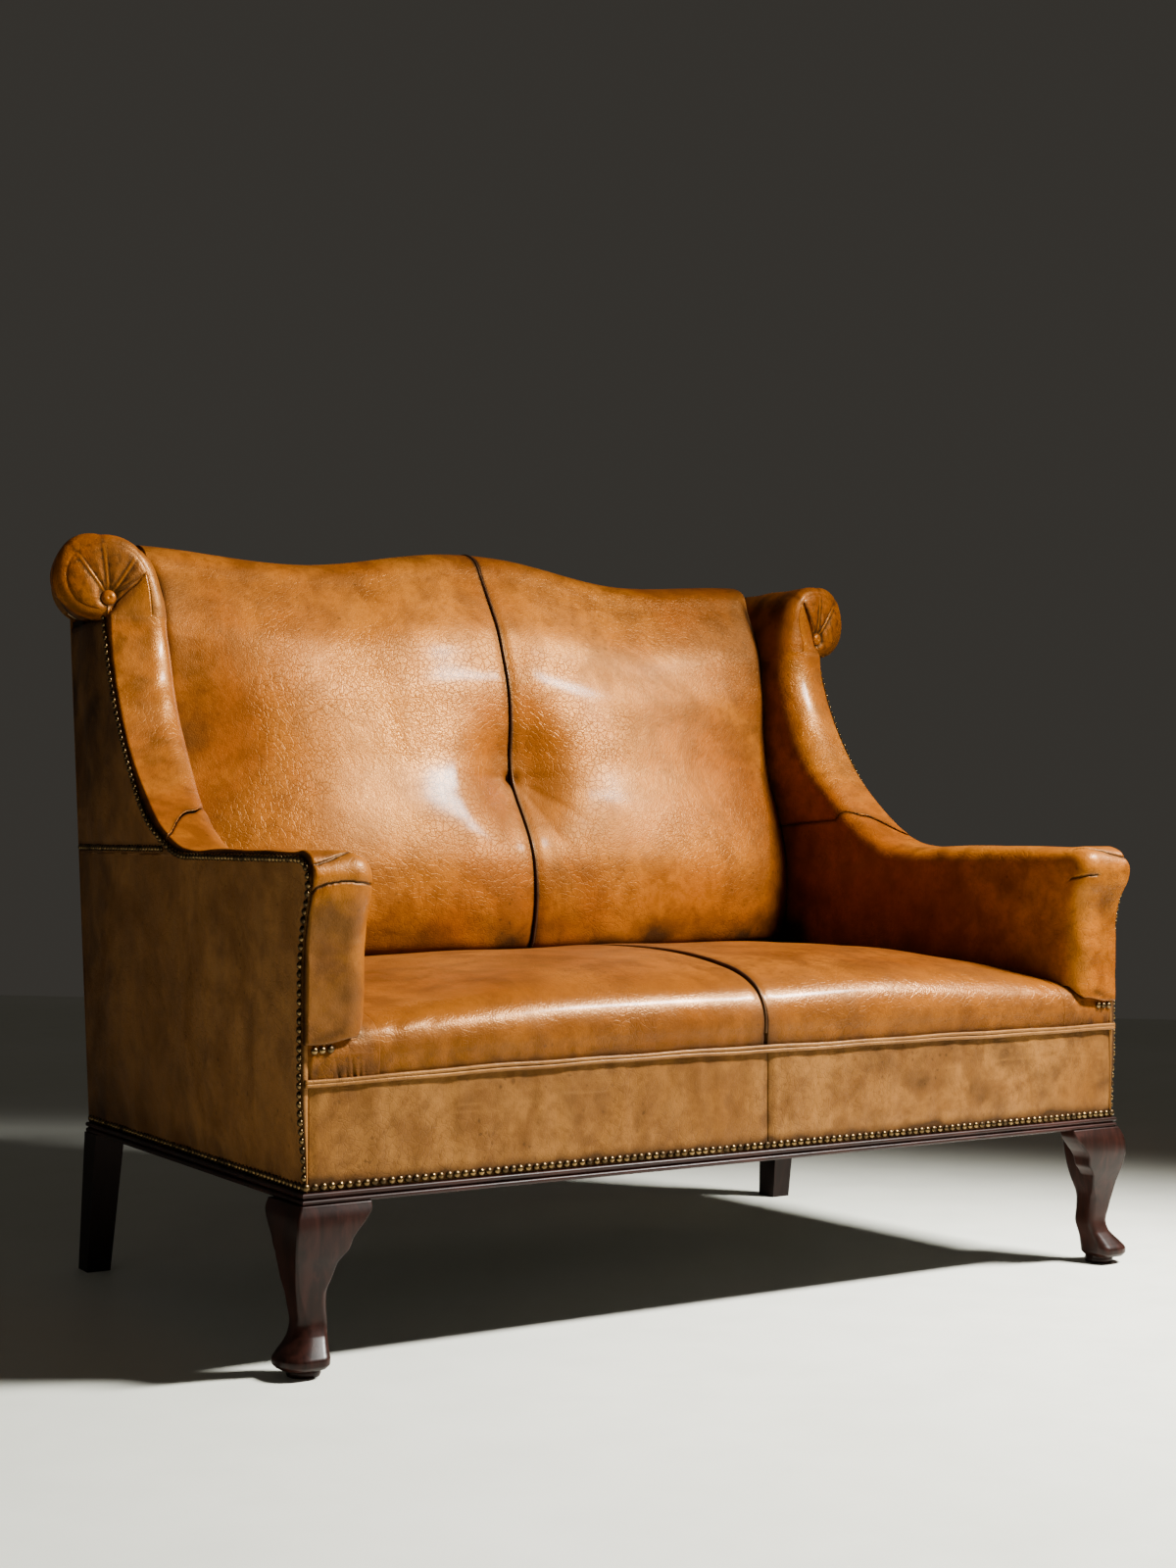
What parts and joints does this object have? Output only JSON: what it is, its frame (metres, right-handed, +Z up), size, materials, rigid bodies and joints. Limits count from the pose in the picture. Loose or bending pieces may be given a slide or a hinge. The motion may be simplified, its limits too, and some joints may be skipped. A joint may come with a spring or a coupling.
{
  "type": "wing settee",
  "caption": "Wing-back settee in tan leather with camel back, scrolled wings, low arms, brass nailing and cabriole front legs.",
  "frame": {"origin": "middle of the plan of the whole settee, on the floor", "axes": "+X to the right as seen from the front, +Y towards the back, +Z up"},
  "size_m": [1.4006, 0.8898, 1.0688],
  "materials": {
    "tan_leather": "satin",
    "shaded_leather": "satin",
    "piping_leather": "satin",
    "mahogany": "polished",
    "stained_beech": "satin",
    "beech": "raw",
    "webbing": "woven",
    "spring_steel": "dull",
    "dust_cloth": "woven",
    "aged_brass": "polished"
  },
  "bodies": {
    "root": {"front_seat_rail": "beech", "side_seat_rail_left": "beech", "side_seat_rail_right": "beech", "back_seat_rail": "beech", "centre_cross_rail": "beech", "corner_blocks": "beech", "back_post_left": "stained_beech", "back_post_right": "stained_beech", "crest_rail": "beech", "back_tacking_rail": "beech", "back_centre_upright": "beech", "arm_stump_left": "beech", "arm_stump_right": "beech", "arm_rail_left": "beech", "arm_rail_right": "beech", "arm_tacking_rail_left": "beech", "arm_tacking_rail_right": "beech", "wing_upright_left": "beech", "wing_upright_right": "beech", "scroll_block_left": "beech", "scroll_block_right": "beech", "front_leg_left": "mahogany", "front_leg_right": "mahogany", "leg_brackets_left": "mahogany", "leg_brackets_right": "mahogany", "moulding_front": "mahogany", "moulding_left": "mahogany", "moulding_right": "mahogany", "seat_webbing": "webbing", "seat_springs": "spring_steel", "seat_hessian": "webbing", "back_webbing": "webbing", "back_springs": "spring_steel", "seat_leather_left": "tan_leather", "seat_leather_right": "tan_leather", "seat_piping": "piping_leather", "front_tabs": "tan_leather", "double_welt": "shaded_leather", "border_left": "shaded_leather", "border_right": "shaded_leather", "back_leather_left": "tan_leather", "back_leather_right": "tan_leather", "back_piping": "piping_leather", "arm_pad_left": "tan_leather", "arm_pad_right": "tan_leather", "wing_pad_left": "tan_leather", "wing_pad_right": "tan_leather", "wing_roll_left": "tan_leather", "wing_roll_right": "tan_leather", "rosette_left": "tan_leather", "rosette_right": "tan_leather", "rosette_buttons": "tan_leather", "outside_arm_left": "shaded_leather", "outside_arm_right": "shaded_leather", "outside_wing_left": "shaded_leather", "outside_wing_right": "shaded_leather", "outside_back": "shaded_leather", "dust_cover": "dust_cloth"}
  },
  "joints": []
}
